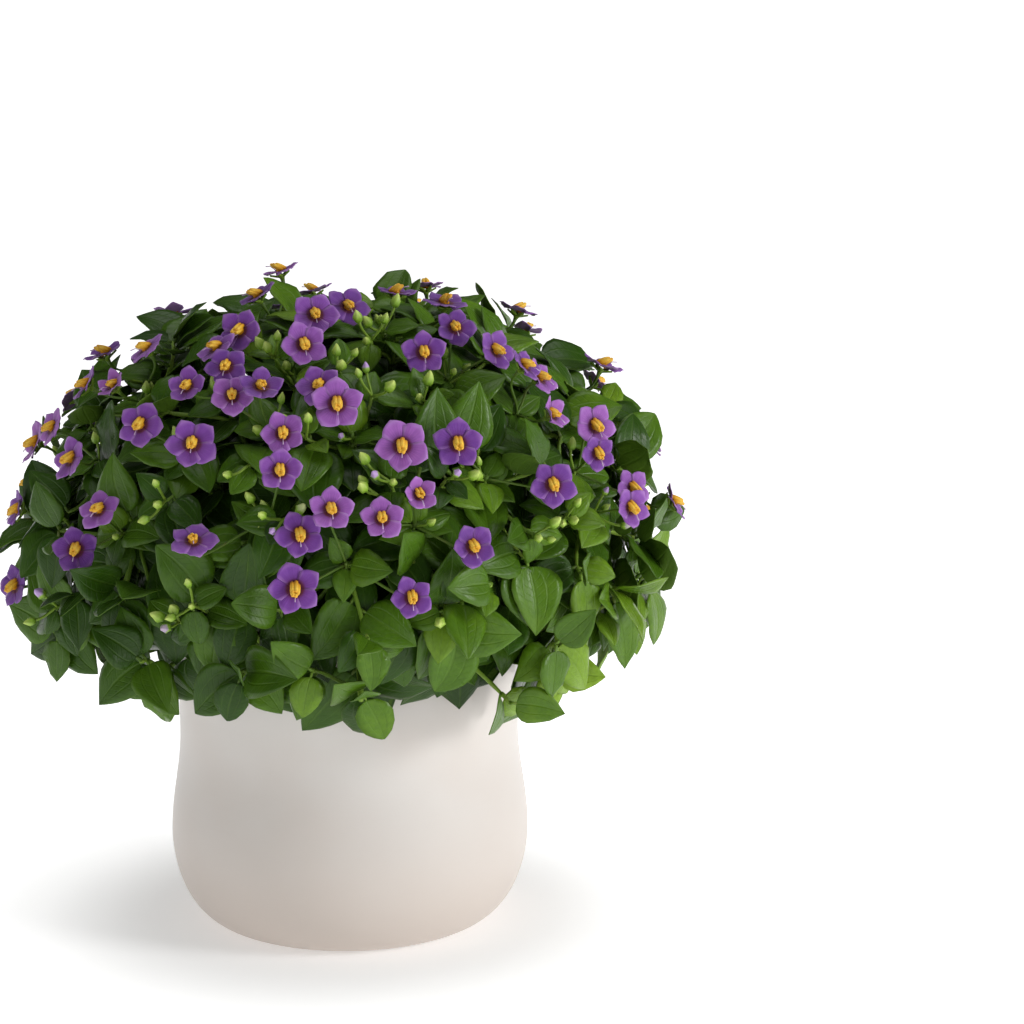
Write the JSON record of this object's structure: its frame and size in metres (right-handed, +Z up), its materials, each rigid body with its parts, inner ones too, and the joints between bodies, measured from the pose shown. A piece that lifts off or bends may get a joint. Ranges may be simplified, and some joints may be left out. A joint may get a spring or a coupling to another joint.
{
  "type": "potted persian violet",
  "caption": "Bushy flowering house plant with ovate leaves and small five-petalled violet blooms, growing in a round glazed pot.",
  "frame": {"origin": "middle of the pot's flat base, where it rests", "axes": "+Z up along the pot's axis, -Y towards the plant's best side"},
  "size_m": [0.23, 0.2294, 0.2232],
  "materials": {
    "pot": "satin off-white glaze",
    "soil": "moist dark peat",
    "leaf": "glossy green leaves and green stems",
    "petal": "matt violet petals with yellow anthers"
  },
  "bodies": {
    "root": {"pot": "pot", "soil": "soil", "spray_01": "petal", "spray_02": "petal", "spray_03": "petal", "spray_04": "petal", "spray_05": "petal", "spray_06": "petal", "spray_07": "petal", "spray_08": "petal", "spray_09": "petal", "spray_10": "petal", "spray_11": "petal", "spray_12": "petal", "spray_13": "petal", "spray_14": "petal", "spray_15": "petal", "spray_16": "petal", "spray_17": "petal", "spray_18": "petal", "spray_19": "petal", "spray_20": "petal", "spray_21": "petal", "spray_22": "petal", "spray_23": "petal", "spray_24": "petal", "spray_25": "petal", "spray_26": "petal", "spray_27": "petal", "spray_28": "petal", "spray_29": "petal", "spray_30": "petal", "spray_31": "petal", "spray_32": "petal", "spray_33": "petal", "spray_34": "petal", "spray_35": "petal", "spray_36": "petal", "spray_37": "petal", "spray_38": "petal", "stem_01": "leaf", "stem_02": "leaf", "stem_03": "leaf", "stem_04": "leaf", "stem_05": "leaf", "stem_06": "leaf", "stem_07": "leaf", "stem_08": "leaf", "stem_09": "leaf", "stem_10": "leaf"}
  },
  "joints": []
}
